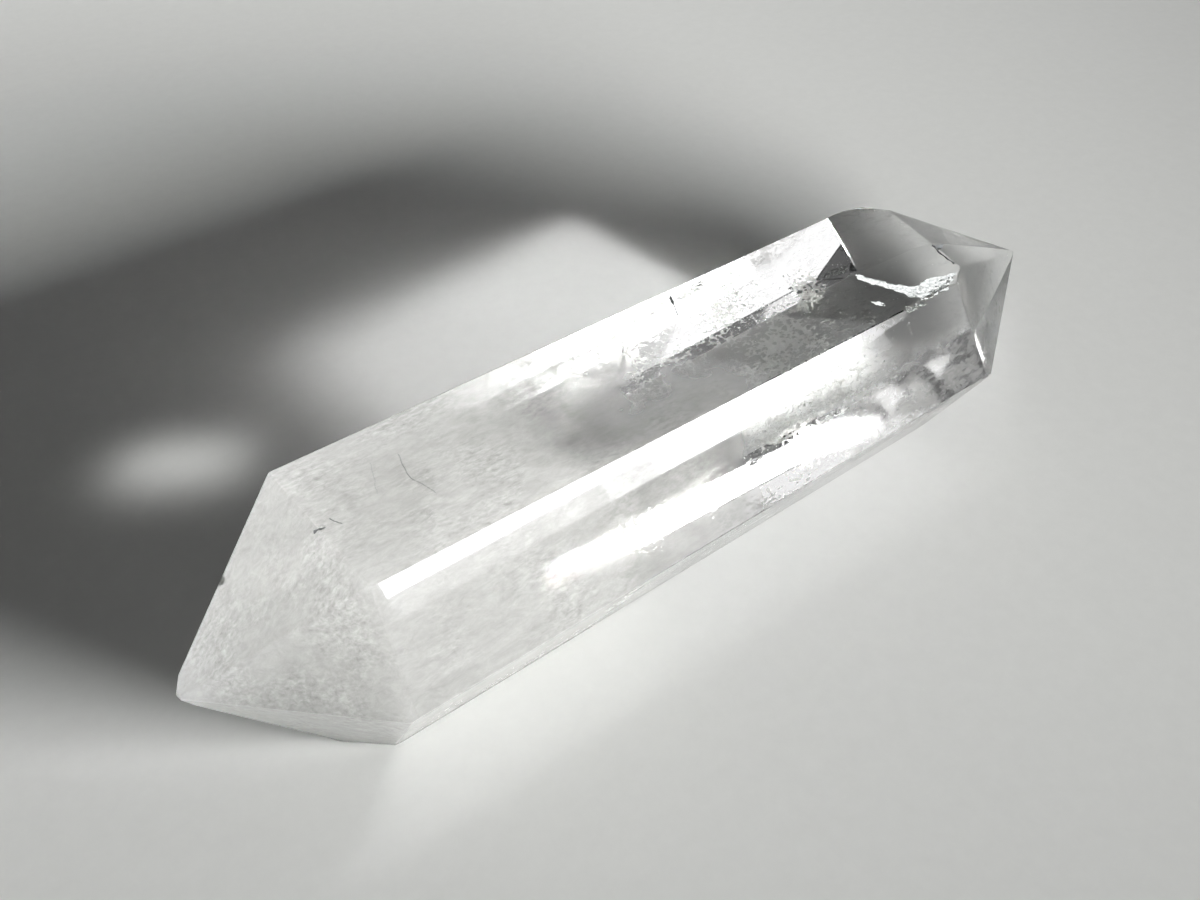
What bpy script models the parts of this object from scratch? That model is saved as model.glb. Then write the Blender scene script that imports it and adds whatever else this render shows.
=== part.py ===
"""A double terminated quartz point: one clear six-sided crystal, ground flat and
polished, with a six-faced point at each end.

It is modelled the way such a point is made.  A block of rock crystal is cut with
flat laps, one flat at a time: six sides, then six faces on each point.  The sharp
edges are eased, and the corners and edges that were knocked are then chipped.

Frame: metres.  +X runs along the crystal to its longer, clearer point, +Z is up,
and the crystal lies on its flat lower side at Z = 0.  The origin is under the
middle of the crystal.
"""
import math

import bmesh
import bpy
from mathutils import Matrix, Vector, noise

MM = 0.001

# ---------------------------------------------------------------- driving sizes
# Distances are in millimetres and angles in degrees.  "Around" is the way a face
# looks, seen along the axis: 0 is +Y, 90 is up, 180 is -Y and 270 is down.
LENGTH = 72.7            # from tip to tip, before the tips were blunted
REST_HEIGHT = 7.50       # from the flat lower side up to the axis

# side: (around, distance from the axis, how far it tapers in towards +X)
SIDES = {
    "top": (89.6, 7.26, 0.0),
    "front_upper": (151.2, 8.68, -0.2),
    "front_lower": (208.7, 8.04, 0.3),
    "bottom": (270.0, REST_HEIGHT, 0.0),
    "back_lower": (330.0, 8.01, 0.0),
    "back_upper": (29.9, 8.31, -0.4),
}

# face of a point: (around, angle between face and axis, how far it clears the tip)
SHORT_POINT = {
    "top": (91.8, 37.8, -0.07),
    "front_upper": (148.9, 41.3, 0.11),
    "front_lower": (209.3, 40.5, 0.04),
    "bottom": (270.7, 43.6, 0.10),
    "back_lower": (330.0, 40.4, 0.00),
    "back_upper": (30.3, 39.4, 0.12),
}
LONG_POINT = {
    "top": (96.8, 26.6, 0.04),
    "front_upper": (146.9, 28.1, 0.02),
    "front_lower": (209.6, 28.2, 0.01),
    "bottom": (270.0, 28.3, 0.00),
    "back_lower": (330.0, 28.3, 0.00),
    "back_upper": (29.7, 29.4, 0.05),
}
SHORT_TIP = (0.27, -0.37)     # Y and Z of the short point's tip, from the axis
LONG_TIP = (0.41, -0.06)      # Y and Z of the long point's tip, from the axis

EASED_WIDTH = 0.11            # width of the flat left along each eased edge
MIN_SHARPNESS = 6.0           # an edge that turns less than this stays as cut
SLIVER = 0.012                # corners closer than this are welded into one

# flats knocked off corners: (where it passes, around, slope towards +X)
KNOCKED_FLATS = {
    "short_tip": ((-35.98, 0.24, -0.40), 130.0, -78.0),
    "short_tip_back": ((-35.85, 0.55, -0.30), 40.0, -58.0),
    "short_tip_under": ((-35.85, 0.20, -0.75), 250.0, -60.0),
    "long_tip": ((36.10, 0.41, -0.06), 60.0, 80.0),
    "back_shoulder_edge": ((21.40, 5.00, 7.24), 60.0, 8.0),
    "back_shoulder_corner": ((21.95, 4.33, 7.24), 62.0, 30.0),
    "front_foot": ((-26.40, -5.30, -7.30), 228.0, -28.0),
    "back_corner": ((-27.05, 9.10, -0.20), 2.0, -26.0),
}

# scallops split out of edges and faces: (middle, half sizes, turn about Z)
SCALLOPS = {
    "ridge": ((14.75, -6.10, 7.42), (0.95, 0.42, 0.42), 4.0),
    "ridge_end": ((15.65, -6.12, 7.36), (0.42, 0.26, 0.26), -20.0),
    "shoulder_long": ((21.10, -3.00, 7.42), (0.22, 1.35, 0.30), -14.0),
    "shoulder_branch": ((21.85, -1.95, 7.06), (0.62, 0.20, 0.34), 24.0),
    "front_corner": ((20.05, -9.62, 0.65), (0.50, 0.34, 0.55), 30.0),
    "front_corner_low": ((19.55, -9.60, 0.10), (0.42, 0.26, 0.34), 12.0),
    "top_pit": ((-26.30, -0.60, 7.42), (0.42, 0.24, 0.26), 35.0),
    "back_edge_nick": ((2.45, 5.62, 7.30), (0.34, 0.26, 0.26), 10.0),
    "point_pit": ((-31.20, 3.10, 2.98), (0.30, 0.30, 0.30), 0.0),
    "foot_nick": ((20.60, -5.20, -7.35), (0.50, 0.36, 0.36), 40.0),
}
SCALLOP_ROUGHNESS = 0.16      # broken surface, as a part of the scallop's size

ICE_CLEAR = (0.93, 0.94, 0.94)
QUARTZ_IOR = 1.544


def clear_scene():
    """Remove every object, mesh and material that the file opened with."""
    for thing in list(bpy.data.objects):
        bpy.data.objects.remove(thing, do_unlink=True)
    for block in list(bpy.data.meshes):
        bpy.data.meshes.remove(block)
    for block in list(bpy.data.materials):
        bpy.data.materials.remove(block)


def quartz_material():
    """Clear, polished rock crystal."""
    material = bpy.data.materials.new("clear quartz")
    material.use_nodes = True
    surface = material.node_tree.nodes["Principled BSDF"]
    surface.inputs["Base Color"].default_value = (*ICE_CLEAR, 1.0)
    surface.inputs["Metallic"].default_value = 0.0
    surface.inputs["Roughness"].default_value = 0.03
    surface.inputs["IOR"].default_value = QUARTZ_IOR
    surface.inputs["Transmission Weight"].default_value = 1.0
    return material


def facing(around, slope):
    """The direction that looks `around` the axis and leans `slope` towards +X."""
    turn = math.radians(around)
    lean = math.radians(slope)
    across = math.cos(lean)
    return Vector((math.sin(lean), across * math.cos(turn), across * math.sin(turn)))


def cut_flat(crystal, through, normal):
    """Grind away all that lies beyond a plane, and close the cut with one face."""
    whole = crystal.verts[:] + crystal.edges[:] + crystal.faces[:]
    cut = bmesh.ops.bisect_plane(
        crystal, geom=whole, dist=0.0005 * MM,
        plane_co=through, plane_no=normal, clear_outer=True)
    rim = [item for item in cut["geom_cut"] if isinstance(item, bmesh.types.BMEdge)]
    if rim:
        bmesh.ops.holes_fill(crystal, edges=rim, sides=0)
    crystal.normal_update()


def grind_sides(crystal):
    """The six long sides."""
    for around, distance, taper in SIDES.values():
        cut_flat(crystal, facing(around, 0.0) * distance * MM, facing(around, taper))


def grind_point(crystal, tip, faces, end):
    """The six faces of one point.  `end` is +1 for the point at +X, -1 at -X."""
    for around, angle, clearance in faces.values():
        normal = facing(around, end * angle)
        cut_flat(crystal, tip + normal * clearance * MM, normal)


def knock_off_corners(crystal):
    """The small flats where corners and tips were blunted."""
    for through, around, slope in KNOCKED_FLATS.values():
        cut_flat(crystal, Vector(through) * MM, facing(around, slope))


def ease_edges(crystal):
    """Grind a narrow flat along every sharp edge."""
    flats = []
    for edge in crystal.edges:
        first, second = (face.normal for face in edge.link_faces)
        turn = first.angle(second)
        if math.degrees(turn) < MIN_SHARPNESS:
            continue
        depth = EASED_WIDTH * MM / 2.0 * math.tan(turn / 2.0)
        middle = (edge.verts[0].co + edge.verts[1].co) / 2.0
        outward = (first + second).normalized()
        flats.append((middle - outward * depth, outward))
    for through, normal in flats:
        cut_flat(crystal, through, normal)


def grind_crystal():
    """The whole ground crystal, with the axis on Y = 0, Z = 0."""
    crystal = bmesh.new()
    block = Matrix.Diagonal((LENGTH * MM * 1.2, LENGTH * MM / 2.0, LENGTH * MM / 2.0, 1.0))
    bmesh.ops.create_cube(crystal, size=1.0, matrix=block)
    short_tip = Vector((-LENGTH / 2.0, *SHORT_TIP)) * MM
    long_tip = Vector((LENGTH / 2.0, *LONG_TIP)) * MM
    grind_sides(crystal)
    grind_point(crystal, short_tip, SHORT_POINT, -1)
    grind_point(crystal, long_tip, LONG_POINT, 1)
    knock_off_corners(crystal)
    ease_edges(crystal)
    bmesh.ops.recalc_face_normals(crystal, faces=crystal.faces)
    mesh = bpy.data.meshes.new("quartz_point")
    crystal.to_mesh(mesh)
    crystal.free()
    point = bpy.data.objects.new("quartz_point", mesh)
    bpy.context.collection.objects.link(point)
    return point


def scallop_cutter(name, middle, half_sizes, turn):
    """A rough little pebble whose shape is left behind where it is cut away."""
    pebble = bmesh.new()
    bmesh.ops.create_icosphere(pebble, subdivisions=2, radius=1.0)
    for vert in pebble.verts:
        push = noise.noise(vert.co * 1.7 + Vector(middle))
        vert.co *= 1.0 + SCALLOP_ROUGHNESS * push
    place = Matrix.Translation(Vector(middle) * MM)
    spin = Matrix.Rotation(math.radians(turn), 4, "Z")
    size = Matrix.Diagonal((*(Vector(half_sizes) * MM), 1.0))
    bmesh.ops.transform(pebble, matrix=place @ spin @ size, verts=pebble.verts)
    mesh = bpy.data.meshes.new("cutter_" + name)
    pebble.to_mesh(mesh)
    pebble.free()
    cutter = bpy.data.objects.new("cutter_" + name, mesh)
    bpy.context.collection.objects.link(cutter)
    cutter.hide_render = True
    cutter.display_type = "WIRE"
    return cutter


def split_out_scallops(point):
    """Chip the crystal with one Boolean for each scallop, then apply them all."""
    for name, (middle, half_sizes, turn) in SCALLOPS.items():
        cutter = scallop_cutter(name, middle, half_sizes, turn)
        chip = point.modifiers.new(name, "BOOLEAN")
        chip.operation = "DIFFERENCE"
        chip.object = cutter
    shape = bpy.context.evaluated_depsgraph_get()
    chipped = bpy.data.meshes.new_from_object(point.evaluated_get(shape))
    for name in SCALLOPS:
        bpy.data.objects.remove(bpy.data.objects["cutter_" + name], do_unlink=True)
    point.modifiers.clear()
    point.data = chipped


def weld_slivers(point):
    """Close the slivers left where three eased edges all but meet."""
    mesh = bmesh.new()
    mesh.from_mesh(point.data)
    bmesh.ops.remove_doubles(mesh, verts=mesh.verts, dist=SLIVER * MM)
    bmesh.ops.dissolve_degenerate(mesh, edges=mesh.edges, dist=SLIVER * MM)
    bmesh.ops.recalc_face_normals(mesh, faces=mesh.faces)
    mesh.to_mesh(point.data)
    mesh.free()


def stand_on_origin(point):
    """Move the mesh so that it rests at Z = 0 with the origin under its middle."""
    corners = [Vector(corner) for corner in point.bound_box]
    low = Vector(min(corner[i] for corner in corners) for i in range(3))
    high = Vector(max(corner[i] for corner in corners) for i in range(3))
    middle = (low + high) / 2.0
    point.data.transform(Matrix.Translation((-middle.x, -middle.y, -low.z)))


def main():
    clear_scene()
    point = grind_crystal()
    split_out_scallops(point)
    weld_slivers(point)
    stand_on_origin(point)
    point.data.name = "quartz_point"
    point.data.materials.clear()
    point.data.materials.append(quartz_material())


main()
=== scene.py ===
# %% [markdown]
# # A double terminated quartz point
# The real object is one piece of rock crystal, about 7 cm long.  It was cut with six
# long sides and a six-faced point at each end, and then polished.  Its longer point is
# clear as glass.  Towards the shorter point it turns milky, because that end grew full
# of bubbles far too small to see.
#
# The solid comes ready made from the CAD frame.  This notebook gives it its finish,
# puts the flaws of real rock crystal inside it, and lights it on a pale table.

# %% Load the frame
import math

import bpy
from mathutils import Matrix, Vector, noise


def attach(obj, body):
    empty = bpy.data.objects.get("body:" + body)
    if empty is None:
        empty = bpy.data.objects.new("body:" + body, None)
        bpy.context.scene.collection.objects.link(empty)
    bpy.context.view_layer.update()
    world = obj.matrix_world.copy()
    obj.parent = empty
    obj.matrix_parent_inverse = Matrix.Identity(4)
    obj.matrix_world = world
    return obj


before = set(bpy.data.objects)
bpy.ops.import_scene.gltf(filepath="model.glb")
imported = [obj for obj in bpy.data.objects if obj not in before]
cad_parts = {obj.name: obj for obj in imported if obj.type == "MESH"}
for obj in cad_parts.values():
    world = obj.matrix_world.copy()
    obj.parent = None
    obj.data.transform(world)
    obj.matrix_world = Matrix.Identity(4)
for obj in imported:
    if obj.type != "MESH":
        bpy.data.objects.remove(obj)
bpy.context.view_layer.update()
MM = 0.001
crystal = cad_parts["quartz_point"]
print("crystal, mm:", [round(size / MM, 2) for size in crystal.dimensions])

# %% [markdown]
# ## Three small helpers
# Colours are picked as sRGB hex values, but shader sockets want linear light, so one
# function turns one into the other.  Adding a shader node is always the same three
# steps: make it, set its values, and link it.  A second function does those, and a
# third starts a material.
#
# Math and Mix nodes have several sockets of the same name, so those go by number.

# %% Colour and node helpers
MIX_FACTOR, MIX_FIRST, MIX_SECOND = 0, 6, 7      # the inputs of a Mix node for colours
MIXED = 2                                        # and its output


def linear(hex_colour):
    """An sRGB hex colour as the linear values that a colour socket takes."""
    channels = [int(hex_colour[i:i + 2], 16) / 255.0 for i in (1, 3, 5)]
    bent = [c / 12.92 if c <= 0.04045 else ((c + 0.055) / 1.055) ** 2.4 for c in channels]
    return (*bent, 1.0)


def add_node(tree, kind, settings=None, links=None):
    """Add one shader node, give it its settings, and link what feeds its sockets."""
    node = tree.nodes.new(kind)
    for name, value in (settings or {}).items():
        if isinstance(name, int) or name in node.inputs:
            node.inputs[name].default_value = value
        else:
            setattr(node, name, value)
    for socket, source in (links or {}).items():
        tree.links.new(source, node.inputs[socket])
    return node


def new_material(name, settings):
    """A Principled material with plain values set on its own sockets."""
    material = bpy.data.materials.new(name)
    material.use_nodes = True
    surface = material.node_tree.nodes["Principled BSDF"]
    for socket, value in settings.items():
        surface.inputs[socket].default_value = value
    return material


print("white is", [round(value, 3) for value in linear("#ffffff")])

# %% [markdown]
# ## The quartz itself
# Polished rock crystal has no colour and bends light with an index of 1.544.  Milky
# quartz is the same stone, full of microscopic bubbles that scatter the light.  Both
# are one material here: its transmission falls along the crystal, from the clear point
# at +X to the milky one at -X, and scattering takes the place of what is lost.
#
# The scattering reaches 40 mm, further than the crystal is thick, so a milky face that
# looks away from the lamp glows nearly as much as one that looks at it.

# %% Rock crystal
QUARTZ_IOR = 1.544
SCATTER_REACH = 40.0 * MM

quartz = new_material("rock crystal, clear to milky", {
    "IOR": QUARTZ_IOR,
    "Subsurface Weight": 1.0,
    "Subsurface Radius": (1.0, 1.0, 1.0),
    "Subsurface Scale": SCATTER_REACH,
})
tree = quartz.node_tree
surface = tree.nodes["Principled BSDF"]
place = add_node(tree, "ShaderNodeTexCoord").outputs["Object"]
axes = add_node(tree, "ShaderNodeSeparateXYZ", links={"Vector": place})
print("material:", quartz.name)

# %% [markdown]
# The border of the milk is no plane.  It slants, so the milk reaches furthest on the
# front side, and a coarse noise makes it billow by about a centimetre.
#
# A noise texture's scale is how many of its cells go into a metre, so a cell 11 mm
# wide takes a scale of 90.

# %% Where the milk starts
BILLOWS = 90.0                   # cells 11 mm wide
BILLOW_SWING = 22.0 * MM         # how far the noise could move the border, end to end
BORDER_SLANT = 0.4               # how far it moves along X for each step along Y
MILK_STARTS = -2.0 * MM
MILK_IS_FULL = -19.0 * MM

billow = add_node(
    tree, "ShaderNodeTexNoise",
    {"Scale": BILLOWS, "Detail": 4.0, "Roughness": 0.55}, {"Vector": place})
wander = add_node(
    tree, "ShaderNodeMath",
    {"operation": "MULTIPLY_ADD", 1: BILLOW_SWING, 2: -BILLOW_SWING / 2.0},
    {0: billow.outputs["Fac"]})
slant = add_node(
    tree, "ShaderNodeMath",
    {"operation": "MULTIPLY_ADD", 1: BORDER_SLANT}, {0: axes.outputs["Y"], 2: axes.outputs["X"]})
border = add_node(
    tree, "ShaderNodeMath", {"operation": "ADD"}, {0: slant.outputs[0], 1: wander.outputs[0]})
milk = add_node(
    tree, "ShaderNodeMapRange",
    {"interpolation_type": "SMOOTHSTEP", "From Min": MILK_STARTS, "From Max": MILK_IS_FULL},
    {"Value": border.outputs[0]}).outputs["Result"]
print("milk starts and is full at X, mm:", round(MILK_STARTS / MM), round(MILK_IS_FULL / MM))

# %% [markdown]
# Past the border the milk frays into feathery wisps.  They are a finer noise, drawn
# out along the stone, and hang thinly in the clear part wherever the coarse noise is
# high.
#
# The values of a noise crowd round one half.  A Map Range picks a band of them and
# stretches it: what lies under the band becomes clear, and what lies over it cloudy.

# %% Wisps in the clear part
FEATHERS = 1500.0                # cells 0.7 mm wide
DRAWN_OUT = 0.45                 # squeezing X by this makes them 1.5 mm long
WISP_CLOUD = 0.20                # how cloudy a wisp is at most, next to 1 for the milk

drawn_out = add_node(
    tree, "ShaderNodeMapping", {"Scale": (DRAWN_OUT, 1.0, 1.0)}, {"Vector": place})
feather = add_node(
    tree, "ShaderNodeTexNoise",
    {"Scale": FEATHERS, "Detail": 8.0, "Roughness": 0.75, "Distortion": 0.5},
    {"Vector": drawn_out.outputs["Vector"]})
wisps = add_node(
    tree, "ShaderNodeMapRange", {"From Min": 0.5, "From Max": 0.78, "To Max": WISP_CLOUD},
    {"Value": feather.outputs["Fac"]})
patches = add_node(
    tree, "ShaderNodeMapRange", {"From Min": 0.42, "From Max": 0.62},
    {"Value": billow.outputs["Fac"]})
veil = add_node(
    tree, "ShaderNodeMath", {"operation": "MULTIPLY"},
    {0: wisps.outputs["Result"], 1: patches.outputs["Result"]})
print("wisps are cloudy by up to", WISP_CLOUD)

# %% [markdown]
# ## Frosting on the front side
# On the lower front side of the clear part, and on the front faces of the long point,
# the real stone is frosted with fine streaks, and the polish is slightly dull there.
#
# The frosting could be painted on the surface, but a mask worked out from the place
# needs no image file.  It asks how far forward a spot is, and the line it asks for is
# drawn back along the long point as that narrows.

# %% Where the skin is frosted
FROST_STARTS = -6.9 * MM         # places along Y
FROST_IS_FULL = -8.0 * MM
SHOULDER = 19.0 * MM             # places along X
LONG_TIP = 36.0 * MM
DRAWN_BACK = 6.8 * MM            # how far the line is drawn back at the long tip
FROST_FADES_IN = (1.0 * MM, 7.0 * MM)

past_shoulder = add_node(
    tree, "ShaderNodeMapRange",
    {"From Min": SHOULDER, "From Max": LONG_TIP, "To Max": -DRAWN_BACK},
    {"Value": axes.outputs["X"]})
forward = add_node(
    tree, "ShaderNodeMath", {"operation": "ADD"},
    {0: axes.outputs["Y"], 1: past_shoulder.outputs["Result"]})
front = add_node(
    tree, "ShaderNodeMapRange",
    {"interpolation_type": "SMOOTHSTEP", "From Min": FROST_STARTS, "From Max": FROST_IS_FULL},
    {"Value": forward.outputs[0]})
clear_half = add_node(
    tree, "ShaderNodeMapRange",
    {"interpolation_type": "SMOOTHSTEP",
     "From Min": FROST_FADES_IN[0], "From Max": FROST_FADES_IN[1]},
    {"Value": axes.outputs["X"]})
skin = add_node(
    tree, "ShaderNodeMath", {"operation": "MULTIPLY"},
    {0: front.outputs["Result"], 1: clear_half.outputs["Result"]})
print("frosted in front of Y, mm:", round(FROST_STARTS / MM, 1))

# %% [markdown]
# The streaks are the same feathery noise as the wisps.  The dull polish is a higher
# roughness, and the largest of milk, wisps and frosting is how cloudy a spot is.  Even
# the densest milk lets a little light straight through.

# %% Streaks, dull polish and how clear each spot is
FROST_CLOUD = 0.50               # how cloudy a streak is at most
FINE_POLISH = 0.02               # roughness
DULL_POLISH = 0.14
MILK_CLEARNESS = 0.20            # transmission that the densest milk keeps

streaks = add_node(
    tree, "ShaderNodeMapRange", {"From Min": 0.40, "From Max": 0.68, "To Max": FROST_CLOUD},
    {"Value": feather.outputs["Fac"]})
front_veil = add_node(
    tree, "ShaderNodeMath", {"operation": "MULTIPLY"},
    {0: skin.outputs[0], 1: streaks.outputs["Result"]})
polish = add_node(
    tree, "ShaderNodeMapRange", {"To Min": FINE_POLISH, "To Max": DULL_POLISH},
    {"Value": skin.outputs[0]})
tree.links.new(polish.outputs["Result"], surface.inputs["Roughness"])
veils = add_node(
    tree, "ShaderNodeMath", {"operation": "MAXIMUM"}, {0: veil.outputs[0], 1: front_veil.outputs[0]})
cloudy = add_node(
    tree, "ShaderNodeMath", {"operation": "MAXIMUM"}, {0: milk, 1: veils.outputs[0]})
clearness = add_node(
    tree, "ShaderNodeMapRange", {"To Min": 1.0, "To Max": MILK_CLEARNESS},
    {"Value": cloudy.outputs[0]})
tree.links.new(clearness.outputs["Result"], surface.inputs["Transmission Weight"])
print("transmission runs from 1.0 to", MILK_CLEARNESS)

# %% [markdown]
# ## The colour of the milk
# Milk isn't one white.  Denser and thinner feathers make it a little lighter and
# darker, and a finer grain of a quarter of a millimetre, in clumps a few millimetres
# wide, breaks it up further.

# %% Light and dark in the milk
GRAIN = 4000.0                   # cells 0.25 mm wide
CLUMPS = 260.0                   # cells 4 mm wide
GRAIN_CONTRAST = (0.05, 0.42)    # between the clumps and in them
MILK_GREYS = (0.335, 0.455)      # linear levels, before the grain

grain = add_node(
    tree, "ShaderNodeTexNoise",
    {"Scale": GRAIN, "Detail": 3.0, "Roughness": 0.6, "Distortion": 0.4},
    {"Vector": drawn_out.outputs["Vector"]})
clumps = add_node(
    tree, "ShaderNodeTexNoise", {"Scale": CLUMPS, "Detail": 3.0}, {"Vector": place})
clumped = add_node(
    tree, "ShaderNodeMapRange",
    {"From Min": 0.42, "From Max": 0.64,
     "To Min": GRAIN_CONTRAST[0], "To Max": GRAIN_CONTRAST[1]},
    {"Value": clumps.outputs["Fac"]})
swing = add_node(
    tree, "ShaderNodeMath", {"operation": "SUBTRACT", 1: 0.5}, {0: grain.outputs["Fac"]})
feather_grey = add_node(
    tree, "ShaderNodeMapRange",
    {"From Min": 0.3, "From Max": 0.7, "To Min": MILK_GREYS[0], "To Max": MILK_GREYS[1]},
    {"Value": feather.outputs["Fac"]})
shade = add_node(
    tree, "ShaderNodeMath", {"operation": "MULTIPLY_ADD"},
    {0: swing.outputs[0], 1: clumped.outputs["Result"], 2: feather_grey.outputs["Result"]})
print("linear greys of the milk:", MILK_GREYS)

# %% [markdown]
# Milk takes a little blue out of the light, as thin cloud does.  Where the stone is
# clear its colour is white, which leaves the light that passes through it as it is.

# %% The milk's tint
MILK_BLUE = 0.965                # next to 1 for red and green
TINTED_FROM = 0.3                # a spot this cloudy has all of the milk's colour

less_blue = add_node(
    tree, "ShaderNodeMath", {"operation": "MULTIPLY", 1: MILK_BLUE}, {0: shade.outputs[0]})
milk_colour = add_node(
    tree, "ShaderNodeCombineColor", {},
    {"Red": shade.outputs[0], "Green": shade.outputs[0], "Blue": less_blue.outputs[0]})
tinted = add_node(
    tree, "ShaderNodeMapRange", {"From Max": TINTED_FROM}, {"Value": cloudy.outputs[0]})
tint = add_node(
    tree, "ShaderNodeMix", {"data_type": "RGBA", MIX_FIRST: linear("#ffffff")},
    {MIX_FACTOR: tinted.outputs["Result"], MIX_SECOND: milk_colour.outputs["Color"]})
tree.links.new(tint.outputs[MIXED], surface.inputs["Base Color"])

for slot in crystal.material_slots:
    slot.material = quartz
print("quartz material nodes:", len(tree.nodes))

# %% [markdown]
# ## Where the flaws may be
# The flaws are in the stone or right at its surface, so each needs to know how deep a
# place is.  The crystal is convex apart from its chips: a place is inside when it is
# behind all of its flats.  The flats are read once from the crystal's own faces.

# %% The flats of the crystal
SMALLEST_FLAT = 1.5              # mm2: a chip's faces are smaller and aren't flats
AXIS_HEIGHT = 7.5                # mm over the table


def read_flats(crystal, smallest):
    """Middle and direction of each flat with a triangle of at least `smallest` mm2."""
    flats = {}
    for face in crystal.data.polygons:
        if face.area > smallest * MM * MM:
            key = tuple(round(value, 2) for value in face.normal)
            flats[key] = (face.center.copy(), face.normal.copy())
    return list(flats.values())


def depth(place, flats):
    """How far a place is under the nearest flat.  It is negative outside."""
    return min((middle - place).dot(normal) for middle, normal in flats)


flats = read_flats(crystal, SMALLEST_FLAT)
heart = Vector((0.0, 0.0, AXIS_HEIGHT)) * MM
print("flats:", len(flats), " depth of the heart, mm:", round(depth(heart, flats) / MM, 2))

# %% [markdown]
# ## Thin sheets
# The flaws are all made from thin sheets: healed fractures, a crushed strip and open
# cracks.  A sheet starts as a flat grid, is buckled by a cloud pattern, loses the
# faces that aren't wanted, and gets its thickness from Solidify, which makes each
# scrap that is left a closed solid.

# %% Tools to start a sheet
def start_grid(name, cells, size, middle, turn):
    """A flat grid of cells at a place, with its size and turn applied."""
    bpy.ops.object.select_all(action="DESELECT")
    bpy.ops.mesh.primitive_grid_add(
        x_subdivisions=cells[0], y_subdivisions=cells[1], size=1.0,
        location=[value * MM for value in middle],
        rotation=[math.radians(value) for value in turn])
    sheet = bpy.context.active_object
    sheet.name = name
    sheet.scale = (size[0] * MM, size[1] * MM, 1.0)
    bpy.ops.object.transform_apply(location=True, rotation=True, scale=True)
    return sheet


def buckle(sheet, wave, height):
    """Push a sheet in and out with clouds `wave` mm wide and `height` mm high."""
    clouds = bpy.data.textures.new(sheet.name + "_clouds", "CLOUDS")
    clouds.noise_scale = wave * MM
    clouds.noise_depth = 2
    push = sheet.modifiers.new("buckle", "DISPLACE")
    push.texture = clouds
    push.strength = height * MM
    bpy.ops.object.modifier_apply(modifier="buckle")


print("starting and buckling ready")

# %% [markdown]
# The faces that are wanted are chosen by a question asked of each face's middle, and
# the rest are deleted in edit mode.  What is left can then be jostled, so that its
# corners don't betray the grid.

# %% Tools to cut and thicken a sheet
def keep_faces(sheet, wanted):
    """Delete every face of a sheet but the ones whose middle is wanted."""
    bpy.context.tool_settings.mesh_select_mode = (False, False, True)
    for face in sheet.data.polygons:
        face.select = not wanted(face.center)
    bpy.ops.object.mode_set(mode="EDIT")
    bpy.ops.mesh.delete(type="FACE")
    bpy.ops.mesh.select_all(action="SELECT")


def jostle(distance, seed):
    """Move the selected corners about by up to `distance` mm, and leave edit mode."""
    bpy.ops.transform.vertex_random(offset=distance * MM, uniform=1.0, seed=seed)
    bpy.ops.object.mode_set(mode="OBJECT")


def thicken(sheet, thickness):
    """Give a sheet a thickness, so that each scrap of it is a closed solid."""
    shell = sheet.modifiers.new("thickness", "SOLIDIFY")
    shell.thickness = thickness * MM
    shell.offset = 0.0
    bpy.ops.object.modifier_apply(modifier="thickness")


print("cutting and thickening ready")

# %% [markdown]
# Two more tools end the work.  The sheets of one kind are joined into one piece, and
# a finished piece gets its material and is tied to the crystal, so it goes where the
# crystal goes.

# %% Tools to join and finish a piece
def join_sheets(sheets, name):
    """Join the sheets into one piece."""
    bpy.ops.object.select_all(action="DESELECT")
    for sheet in sheets:
        sheet.select_set(True)
    bpy.context.view_layer.objects.active = sheets[0]
    bpy.ops.object.join()
    piece = bpy.context.active_object
    piece.name = name
    return piece


def finish_piece(piece, material):
    """Give a finished piece its finish, and tie it to the crystal."""
    piece.data.materials.clear()
    piece.data.materials.append(material)
    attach(piece, "root")
    corners = [piece.matrix_world @ Vector(corner) for corner in piece.bound_box]
    print(piece.name, "faces:", len(piece.data.polygons),
          " highest, mm:", round(max(corner.z for corner in corners) / MM, 3))


print("joining and finishing ready")

# %% [markdown]
# ## Healed fractures
# A growing crystal cracks and heals many times.  A healed crack is left as a wavy
# sheet of tiny flat bubbles, which looks like scraps of torn tissue in the stone.
# A scattered particle system would look much the same but can't be exported.
#
# Eight sheets run along the stone at different slants.

# %% Where the sheets are
SHEETS = [
    # middle, size, turn about X Y Z, how sparse
    ((-1.0, -4.5, 9.0), (30.0, 7.0), (-30.0, 0.0, 1.0), 0.10),
    ((-4.0, 2.0, 12.6), (26.0, 8.0), (4.0, 2.0, -2.0), 0.10),
    ((-3.0, 1.5, 10.5), (34.0, 11.0), (18.0, -3.0, 3.0), 0.10),
    ((4.0, -3.0, 8.5), (38.0, 10.0), (-38.0, 2.0, -2.0), 0.12),
    ((9.0, 3.0, 6.0), (30.0, 10.0), (32.0, 4.0, -4.0), 0.14),
    ((2.0, -2.0, 4.5), (34.0, 11.0), (6.0, -5.0, 2.0), 0.12),
    ((-8.0, 0.0, 8.0), (16.0, 12.0), (60.0, 12.0, 20.0), 0.06),
    ((12.0, -3.5, 6.0), (18.0, 8.0), (70.0, -6.0, -8.0), 0.14),
]
print("sheets:", len(SHEETS))

# %% [markdown]
# The flecks that are left of a sheet are picked by a fine noise, and a coarse one
# gathers them in clusters.  A fleck is kept only where its middle is half a millimetre
# or more under every flat, and they thin out towards the long point.  Smoothing rounds
# their outlines.

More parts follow.
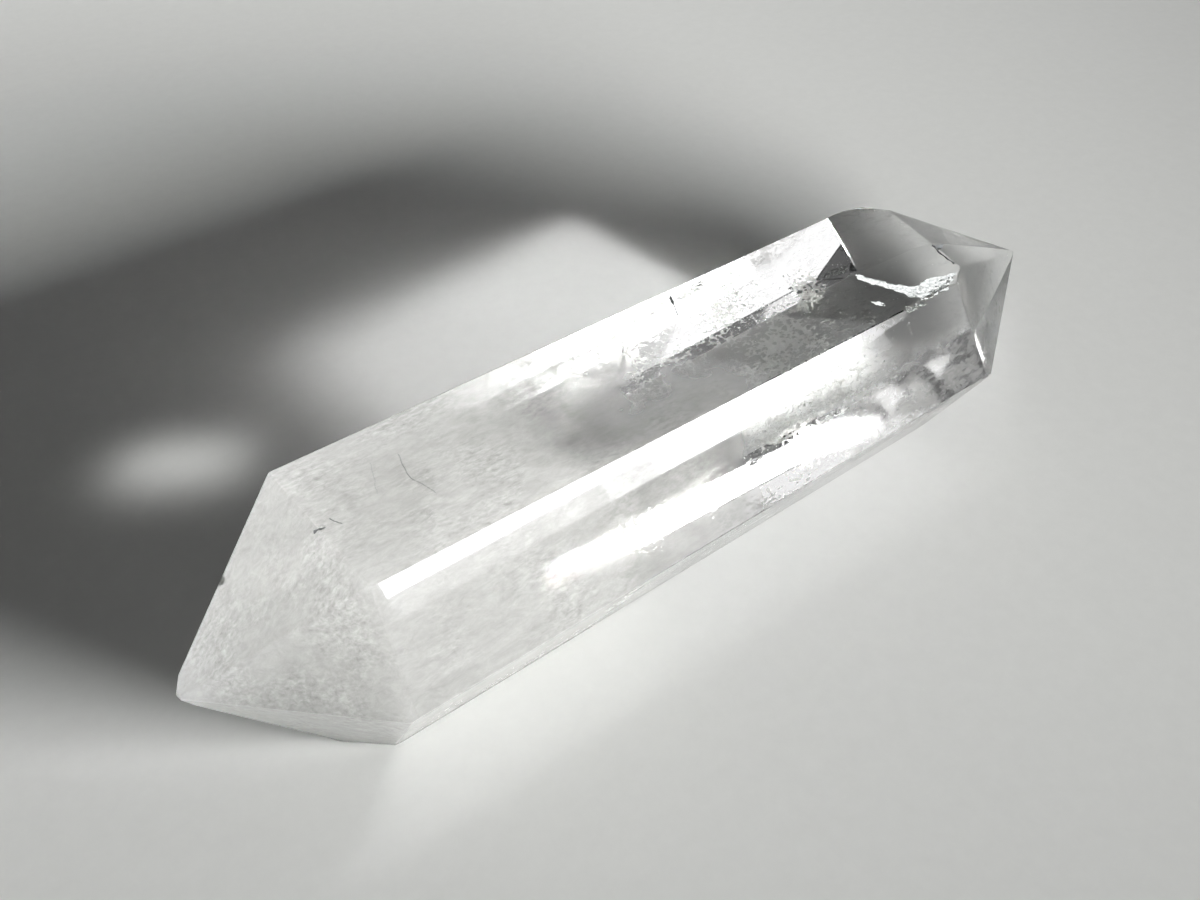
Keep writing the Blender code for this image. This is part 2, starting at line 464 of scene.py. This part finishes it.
# %% Sheets of flecks
CELL = 0.13                      # mm, as are the sizes below
SHEET_WAVE = 4.0
SHEET_WAVE_HEIGHT = 2.4
FLECK_JOSTLE = 0.04
FLECK_THICKNESS = 0.02
LEAST_DEPTH = 0.5
THINS_FROM = 9.0                 # along X
THINS_BY = 0.05                  # for each mm past that
FLECK_LEVEL = 0.21               # a higher level leaves fewer flecks
FLECKS = 5600.0                  # noise cells 0.18 mm wide
FLECK_STRETCH = 0.5              # squeezing X by this makes them twice as long
CLUSTERS = 320.0                 # noise cells 3 mm wide
CLUSTER_PULL = 0.9               # how much the clusters count, next to 1 for the flecks

scraps = []
for number, (middle, size, turn, sparse) in enumerate(SHEETS):
    cells = [round(side / CELL) for side in size]
    sheet = start_grid("sheet_%d" % number, cells, size, middle, turn)
    buckle(sheet, SHEET_WAVE, SHEET_WAVE_HEIGHT)

    def is_fleck(place):
        fine = noise.noise(Vector((place.x * FLECK_STRETCH, place.y, place.z)) * FLECKS)
        coarse = noise.noise(place * CLUSTERS - Vector((0, number, 0)))
        thinning = max(0.0, place.x / MM - THINS_FROM) * THINS_BY
        dense = fine + CLUSTER_PULL * coarse > FLECK_LEVEL + sparse + thinning
        return dense and depth(place, flats) > LEAST_DEPTH * MM

    keep_faces(sheet, is_fleck)
    bpy.ops.mesh.vertices_smooth(factor=0.5, repeat=2)
    jostle(FLECK_JOSTLE, number)
    thicken(sheet, FLECK_THICKNESS)
    scraps.append(sheet)
print("faces left of each sheet:", [len(sheet.data.polygons) for sheet in scraps])

# %% [markdown]
# The bubbles are as clear as the stone round them and are seen only because they bend
# light a little, so their material is nearly plain transmission.

# %% Healed fractures, joined and finished
fractures = join_sheets(scraps, "healed_fractures")
bubbles = new_material("healed crack, flat bubbles", {
    "Base Color": linear("#f2f3f0"),
    "Roughness": 0.3,
    "Transmission Weight": 0.82,
    "IOR": 1.1,
})
finish_piece(fractures, bubbles)

# %% [markdown]
# ## The crushed flake
# Under the long point's shoulder a blow has crushed a curved strip of the surface.
# The strip, a splinter beside it and the lining of the chip on the ridge are one
# piece.  Each patch of it starts from an outline, drawn as seen from above.  A place
# is in an outline when a line from it towards +X crosses the outline an odd number
# of times.

# %% Outlines of the crushed patches
# corners seen from above, X and Y in mm
FLAKE = [(14.07, -1.04), (14.66, -2.29), (15.09, -3.40), (16.11, -4.42), (17.68, -4.40),
         (19.01, -4.88), (19.95, -5.05), (17.65, -6.05), (16.31, -5.86), (15.47, -5.71),
         (14.92, -5.02), (14.81, -3.95), (14.20, -2.71), (13.66, -1.51)]
SPLINTER = [(12.50, -3.90), (12.82, -4.20), (12.95, -4.80), (12.68, -4.72), (12.46, -4.20)]
RIDGE_CHIP = [(13.95, -5.58), (14.70, -5.62), (15.60, -5.72), (15.75, -5.98), (13.85, -5.95)]


def in_outline(place, outline):
    """True where a place is in a drawn outline, seen from above."""
    x, y = place.x / MM, place.y / MM
    hits = 0
    for (x0, y0), (x1, y1) in zip(outline, outline[1:] + outline[:1]):
        if (y0 > y) != (y1 > y) and x < x0 + (y - y0) / (y1 - y0) * (x1 - x0):
            hits += 1
    return hits % 2 == 1


print("corners of the flake:", len(FLAKE))

# %% [markdown]
# Each patch is a fine grid cut to its outline with a ragged edge, then made lumpy and
# thick.  The crystal was polished after it was crushed, so what would stand higher than
# the highest edge of the upper side is pressed level with that.  The side slopes by
# less than half a degree, so away from that edge the strip is proud of it by a few
# hundredths of a millimetre.

# %% Crushed flake, splinter and ridge chip
CRUSHED_CELL = 0.07              # mm, as are the sizes below
POLISHED = 14.8005               # the highest edge of the polished upper side
RAGGED_BY = 0.22                 # how far the edge of a patch strays
RAGGED = 3000.0                  # noise cells 0.33 mm wide
LUMP_WIDTH = 0.35
GRAIN_JOSTLE = 0.02
JOSTLE_SEED = 3


def crushed_patch(name, outline, height, lumps, thickness):
    """A lumpy patch of crushed stone that fills an outline at a height."""
    xs = [x for x, y in outline]
    ys = [y for x, y in outline]
    middle = ((min(xs) + max(xs)) / 2.0, (min(ys) + max(ys)) / 2.0, height)
    size = (max(xs) - min(xs) + CRUSHED_CELL, max(ys) - min(ys) + CRUSHED_CELL)
    cells = [round(side / CRUSHED_CELL) for side in size]
    patch = start_grid(name, cells, size, middle, (0.0, 0.0, 0.0))

    def is_crushed(place):
        spot = place * RAGGED
        other_spot = spot + Vector((7, 7, 7))
        ragged = Vector((noise.noise(spot), noise.noise(other_spot), 0.0))
        return in_outline(place + ragged * RAGGED_BY * MM, outline)

    keep_faces(patch, is_crushed)
    jostle(GRAIN_JOSTLE, JOSTLE_SEED)
    buckle(patch, LUMP_WIDTH, lumps)
    thicken(patch, thickness)
    for vert in patch.data.vertices:
        vert.co.z = min(vert.co.z, POLISHED * MM)
    return patch


crushed = [
    # outline, height, how high the lumps are, thickness
    crushed_patch("flake", FLAKE, 14.78, 0.03, 0.055),
    crushed_patch("splinter", SPLINTER, 14.78, 0.03, 0.055),
    crushed_patch("ridge_chip", RIDGE_CHIP, 14.40, 0.06, 0.03),
]
flake = join_sheets(crushed, "crushed_flake")
print("corners of the crushed piece:", len(flake.data.vertices))

# %% [markdown]
# Crushed quartz is white as sugar, because every grain of it scatters the light.  A
# grit of a fifth of a millimetre makes some grains greyer than others.

# %% The crushed flake's finish
GRIT = 5000.0                    # noise cells 0.2 mm wide

sugar = new_material("crushed quartz, sugar white", {"Roughness": 0.8})
tree = sugar.node_tree
grit = add_node(
    tree, "ShaderNodeTexNoise", {"Scale": GRIT, "Detail": 3.0},
    {"Vector": add_node(tree, "ShaderNodeTexCoord").outputs["Object"]})
grit_level = add_node(
    tree, "ShaderNodeMapRange", {"From Min": 0.35, "From Max": 0.65}, {"Value": grit.outputs["Fac"]})
grit_colour = add_node(
    tree, "ShaderNodeMix",
    {"data_type": "RGBA", MIX_FIRST: linear("#a4a8a8"), MIX_SECOND: linear("#e4e6e4")},
    {MIX_FACTOR: grit_level.outputs["Result"]})
tree.links.new(grit_colour.outputs[MIXED], tree.nodes["Principled BSDF"].inputs["Base Color"])
finish_piece(flake, sugar)

# %% [markdown]
# ## Open cracks
# A few cracks never healed.  They reach up to the upper side and hold air, so they
# shut the light off and look dark.  That dark is painted shade: each is a narrow
# upright sheet of dark grey, a little bent, whose lower rim is frayed.  In the clear
# part they stop just under the surface, but for the two at the long point's shoulder.
# In the milk they cut it, or they wouldn't be seen at all.  Two short ones at a pit
# near the milky end are no cracks but the pit's painted shade.

# %% Where the cracks are
CRACKS_AND_PIT_SHADE = [
    # start and end on the upper side, depth, top, width
    ((21.31, -1.63), (20.67, -4.14), 0.5, 14.72, 0.02),
    ((21.25, -1.80), (22.10, -2.07), 0.4, 14.72, 0.02),
    ((-3.66, 2.38), (-5.40, 0.46), 0.8, 14.72, 0.02),
    ((2.34, 4.88), (1.26, 2.76), 0.9, 14.72, 0.02),
    ((-20.28, 2.14), (-20.64, -0.09), 0.5, 14.765, 0.03),
    ((-20.64, -0.09), (-20.06, -1.93), 0.5, 14.775, 0.03),
    ((-21.78, 2.45), (-22.76, -0.06), 0.4, 14.765, 0.02),
    # the last two rows are no cracks: they are the painted shade of a pit near the milky end
    ((-26.76, -0.45), (-26.10, -0.62), 0.3, 14.775, 0.06),
    ((-25.62, -0.15), (-25.30, -0.90), 0.3, 14.775, 0.04),
]
print("cracks:", len(CRACKS_AND_PIT_SHADE))

# %% [markdown]
# A crack is made with the same tools as the flecks, but its grid stands upright, and
# the question asked of each face is how deep it is.

# %% Open cracks
CRACK_CELL = 0.09                # mm, as are the sizes below
CRACK_WAVE = 1.1
CRACK_WAVE_HEIGHT = 0.35
CRACK_JOSTLE = 0.015
FRAYS = 2400.0                   # noise cells 0.4 mm wide
FRAYED_MIDDLE = 0.72             # how far down the lower rim is, as a part of the depth
FRAYED_SWING = 0.5               # and how far it goes up and down

gaps = []
for number, (start, end, reach, top, width) in enumerate(CRACKS_AND_PIT_SHADE):
    run = Vector((end[0] - start[0], end[1] - start[1], 0.0))
    middle = ((start[0] + end[0]) / 2.0, (start[1] + end[1]) / 2.0, top - reach / 2.0)
    upright = (90.0, 0.0, math.degrees(math.atan2(run.y, run.x)))
    cells = (round(run.length / CRACK_CELL), round(reach / CRACK_CELL))
    gap = start_grid("crack_%d" % number, cells, (run.length, reach), middle, upright)
    buckle(gap, CRACK_WAVE, CRACK_WAVE_HEIGHT)

    def is_open(place):
        frayed = reach * (FRAYED_MIDDLE + FRAYED_SWING * noise.noise(place * FRAYS))
        return depth(place, flats) < frayed * MM

    keep_faces(gap, is_open)
    jostle(CRACK_JOSTLE, number)
    thicken(gap, width)
    gaps.append(gap)

cracks = join_sheets(gaps, "open_cracks_painted_dark")
# dark grey painted as shade: it stands for the dark an air gap shows, and isn't a colour of the
# stone
painted_crack_shade = new_material("open crack, painted dark as its shade", {
    "Base Color": linear("#6f7273"),
    "Roughness": 0.4,
})
finish_piece(cracks, painted_crack_shade)

# %% [markdown]
# ## The table
# The crystal lies on a plain, matt white table top.  A faint mottling keeps it from
# looking like paper.  The top is a hair lower than the crystal's lower side, so the
# two faces don't lie in one place.

# %% The table top
TABLE_SIZE = 4.0                 # m
TABLE_HEIGHT = -0.02 * MM
MOTTLING = 700.0                 # noise cells 1.4 mm wide, with finer detail in them

bpy.ops.object.select_all(action="DESELECT")
bpy.ops.mesh.primitive_plane_add(size=TABLE_SIZE, location=(0, 0, TABLE_HEIGHT))
table = bpy.context.active_object
table.name = "table_top"
matt = new_material("matt white table top", {"Roughness": 0.7})
tree = matt.node_tree
place = add_node(tree, "ShaderNodeTexCoord").outputs["Object"]
mottling = add_node(
    tree, "ShaderNodeTexNoise",
    {"Scale": MOTTLING, "Detail": 5.0, "Roughness": 0.7}, {"Vector": place})
paint = add_node(
    tree, "ShaderNodeMix",
    {"data_type": "RGBA", MIX_FIRST: linear("#dfe0dd"), MIX_SECOND: linear("#e8e9e6")},
    {MIX_FACTOR: mottling.outputs["Fac"]})
tree.links.new(paint.outputs[MIXED], tree.nodes["Principled BSDF"].inputs["Base Color"])
table.data.materials.append(matt)
print("table top, m:", [round(size, 2) for size in table.dimensions])

# %% [markdown]
# ## The camera
# It stands near, above the short point's side, and looks down along the crystal.  Its
# lens is given as the number of pixels that a thing one metre wide and one metre away
# takes in a frame 1200 pixels wide.

# %% The camera
IMAGE_WIDTH = 1200
FOCAL_PIXELS = 1087.4
SENSOR_WIDTH = 36.0
CAMERA_PLACE = Vector((-38.35, -41.32, 56.79)) * MM
CAMERA_PITCH = 42.5
CAMERA_YAW = 36.84
CAMERA_ROLL = -0.32

camera_data = bpy.data.cameras.new("camera")
camera_data.sensor_fit = "HORIZONTAL"
camera_data.sensor_width = SENSOR_WIDTH
camera_data.lens = FOCAL_PIXELS / IMAGE_WIDTH * SENSOR_WIDTH
camera_data.clip_start = 1.0 * MM
camera_data.clip_end = 10.0
camera = bpy.data.objects.new("camera", camera_data)
bpy.context.collection.objects.link(camera)
turn = Matrix.Rotation(math.radians(-CAMERA_YAW), 4, "Z")
tilt = Matrix.Rotation(math.radians(90.0 - CAMERA_PITCH), 4, "X")
roll = Matrix.Rotation(math.radians(CAMERA_ROLL), 4, "Z")
camera.matrix_world = Matrix.Translation(CAMERA_PLACE) @ turn @ tilt @ roll
bpy.context.scene.camera = camera
print("lens, mm:", round(camera_data.lens, 2))

# %% [markdown]
# ## The light
# One low panel lamp stands close to the crystal on its front right.  It throws the
# long soft shadow, and its reflections are the white bands in the stone.
#
# The tools build a lamp from places on the table, as the camera sees it: so far to
# the right and so far away.

# %% Lamp tools
def ground(x, y, z):
    """A place in mm on the table, x to the camera's right and y away from it."""
    a = math.radians(CAMERA_YAW)
    return Vector((x * math.cos(a) + y * math.sin(a), y * math.cos(a) - x * math.sin(a), z)) * MM


def add_lamp(name, middle, facing, wide, high, strength):
    """A flat rectangular lamp.  `strength` is its power for each square metre."""
    data = bpy.data.lights.new(name, "AREA")
    data.shape = "RECTANGLE"
    data.size = wide * MM
    data.size_y = high * MM
    data.energy = strength * data.size * data.size_y
    lamp = bpy.data.objects.new(name, data)
    bpy.context.collection.objects.link(lamp)
    lamp.location = middle
    lamp.rotation_euler = facing.to_track_quat("-Z", "Y").to_euler()
    return lamp


def add_panel(name, first, second, low, high, strength):
    """A lamp that stands upright between two places on the table, facing the crystal."""
    start, end = ground(*first, 0.0), ground(*second, 0.0)
    middle = (start + end) / 2.0 + Vector((0.0, 0.0, (low + high) / 2.0 * MM))
    run = end - start
    facing = Vector((-run.y, run.x, 0.0))
    if facing.dot(middle) > 0.0:
        facing.negate()
    return add_lamp(name, middle, facing, run.length / MM, high - low, strength)


print("lamps can be placed")

# %% [markdown]
# The light of a lamp so low and near would fall off over the table with the cube of
# the distance: with the square as it spreads, and once more as it comes in ever
# flatter.  It would burn out the table in front and leave the far side dark.
# `even_out` makes the light grow by the same cube, so the table is lit evenly.

# %% Tools for even light
def even_out(lamp):
    """Let a lamp's light grow with the cube of the distance."""
    lamp.data.use_nodes = True
    tree = lamp.data.node_tree
    fall = add_node(tree, "ShaderNodeLightFalloff", {"Strength": 1.0})
    reach = add_node(tree, "ShaderNodeLightPath").outputs["Ray Length"]
    # the Constant output grows with the square already, so one more length makes the cube
    level = add_node(
        tree, "ShaderNodeMath", {"operation": "MULTIPLY"}, {0: fall.outputs["Constant"], 1: reach})
    tree.links.new(level.outputs[0], tree.nodes["Emission"].inputs["Strength"])


def add_row(name, first, second, low, high, strengths):
    """Equal panels side by side between two places, to let the light fade along them."""
    for number, strength in enumerate(strengths):
        ends = []
        for share in (number / len(strengths), (number + 1) / len(strengths)):
            ends.append([a + (b - a) * share for a, b in zip(first, second)])
        even_out(add_panel("%s_%d" % (name, number), ends[0], ends[1], low, high, strength))


print("lamps can be evened out")

# %% [markdown]
# The lamp has a soft lower rim and a soft far end: rows of panels whose strength
# rises or falls from one to the next.  The rim shows as the grey edge along the
# brightest band, and the far end as the place where that band fades out.

# %% The lamp
LAMP_NEAR = (43.2, -71.6)        # places on the table, mm to the right and away
LAMP_FAR = (90.0, -29.3)
LAMP_FADED = (104.0, -16.6)
RIM_HEIGHT = 20.4                # heights over the table, mm
LAMP_FOOT = 23.3
FADING_TOP = 30.0
LAMP_TOP = 39.5
LAMP_STRENGTH = 210000.0
FADING_STRENGTHS = (52000.0, 22000.0, 8000.0)
RIM_STRENGTHS = (16000.0, 16000.0, 18000.0, 26000.0, 50000.0, 110000.0, 200000.0, 200000.0)

even_out(add_panel("lamp", LAMP_NEAR, LAMP_FAR, LAMP_FOOT, LAMP_TOP, LAMP_STRENGTH))
add_row("lamp_end", LAMP_FAR, LAMP_FADED, RIM_HEIGHT, FADING_TOP, FADING_STRENGTHS)
add_row("lamp_rim", LAMP_NEAR, LAMP_FAR, RIM_HEIGHT, LAMP_FOOT, RIM_STRENGTHS)
print("panels of the lamp:", 1 + len(FADING_STRENGTHS) + len(RIM_STRENGTHS))

# %% [markdown]
# Two pale walls and a pale ceiling stand far off.  They are seen only in the stone's
# reflections and through it, and give its dark faces their greys.

# %% What the stone sees of the room
FAR_PANELS = {
    # middle, width, height, strength
    "pale_wall_right": (ground(923.0, -336.0, 185.0), 1000.0, 290.0, 3.3),
    "pale_wall_near": (ground(140.0, -985.0, 100.0), 500.0, 90.0, 3.3),
    "pale_ceiling": (ground(120.0, 690.0, 700.0), 600.0, 350.0, 2.6),
}
for name, (middle, wide, high, strength) in FAR_PANELS.items():
    panel = add_lamp(name, middle, -middle, wide, high, strength)
    panel.visible_diffuse = False
print("far panels:", list(FAR_PANELS))

# %% [markdown]
# ## Light thrown on the table
# The crystal works as a rough lens.  It gathers the lamp's light and throws it into
# its own shadow, as one wide patch beside it, one small patch off the milky end, and
# a narrow strip right under its far side.  A path tracer hardly finds such light by
# chance, so each patch gets a thin lamp of its own just over the table.
#
# The nearer a side of such a lamp is to the table, the sharper the patch ends there,
# so the wide one leans down to the right.  A narrowed spread keeps the light out of
# the shadow round it.  The lamps are hidden from the camera and the stone.

# %% Light thrown on the table
GLEAM_SPREAD = 115.0
GLEAMS = {
    # middle, size, turn about X Y Z, strength, in mm and degrees
    "thrown_wide": ((3.0, 23.5, 4.6), (33.0, 25.0), (3.0, 9.0, 7.0), 1.9),
    "thrown_near": ((13.0, 8.0, 3.0), (14.0, 3.0), (0.0, 0.0, 0.0), 6.0),
    "thrown_small": ((-27.5, 26.5, 4.6), (9.0, 4.5), (0.0, 0.0, -30.0), 2.2),
}
DOWN = Vector((0.0, 0.0, -1.0))

for name, (middle, size, turn, strength) in GLEAMS.items():
    lamp = add_lamp(name, Vector(middle) * MM, DOWN, size[0], size[1], strength)
    lamp.rotation_euler = [math.radians(value) for value in turn]
    lamp.data.spread = math.radians(GLEAM_SPREAD)
    lamp.visible_camera = False
    lamp.visible_glossy = False
    lamp.visible_transmission = False
    print(name, "stands", middle[2], "mm over the table")

# %% [markdown]
# ## The glow of the milk
# Light goes astray many times in milky quartz and comes out all over it, so the milk
# glows from within.  One soft lamp on the left gives it that glow.  It lights only
# the crystal and the crushed strip, and stays out of reflections.

# %% The glow of the milk
GLOW_PLACE = ground(-377.0, -60.0, 460.0)
GLOW_SIZE = 500.0
GLOW_STRENGTH = 29.0

glow = add_lamp("glow", GLOW_PLACE, -GLOW_PLACE, GLOW_SIZE, GLOW_SIZE, GLOW_STRENGTH)
glow.visible_glossy = False
glow.visible_transmission = False
receivers = bpy.data.collections.new("lit by the glow")
receivers.objects.link(crystal)
receivers.objects.link(flake)
glow.light_linking.receiver_collection = receivers

# %% [markdown]
# ## The room
# The rest of the room is dim and even.  What is matt gets slightly less of it than
# polished faces show, so the shadow on the table stays dark, and the stone's own dark
# faces don't get darker with it.

# %% The room
ROOM = 0.11
ROOM_ON_MATT = 0.09

world = bpy.data.worlds.new("room")
world.use_nodes = True
world.cycles.sampling_method = "NONE"
tree = world.node_tree
tree.nodes["Background"].inputs["Color"].default_value = linear("#ffffff")
on_matt = add_node(tree, "ShaderNodeLightPath").outputs["Is Diffuse Ray"]
level = add_node(
    tree, "ShaderNodeMapRange", {"To Min": ROOM, "To Max": ROOM_ON_MATT}, {"Value": on_matt})
tree.links.new(level.outputs["Result"], tree.nodes["Background"].inputs["Strength"])
bpy.context.scene.world = world
print("room, as polished and as matt faces get it:", ROOM, ROOM_ON_MATT)

# %% [markdown]
# ## The picture
# The picture keeps the lamp's light as it is: no film curve, no limit on indirect
# light and no blur of it.  With those the bright bands in the stone would turn grey.

# %% The picture
bpy.context.scene.view_settings.view_transform = "Standard"
bpy.context.scene.cycles.sample_clamp_indirect = 0.0
bpy.context.scene.cycles.blur_glossy = 0.0
print("view:", bpy.context.scene.view_settings.view_transform)
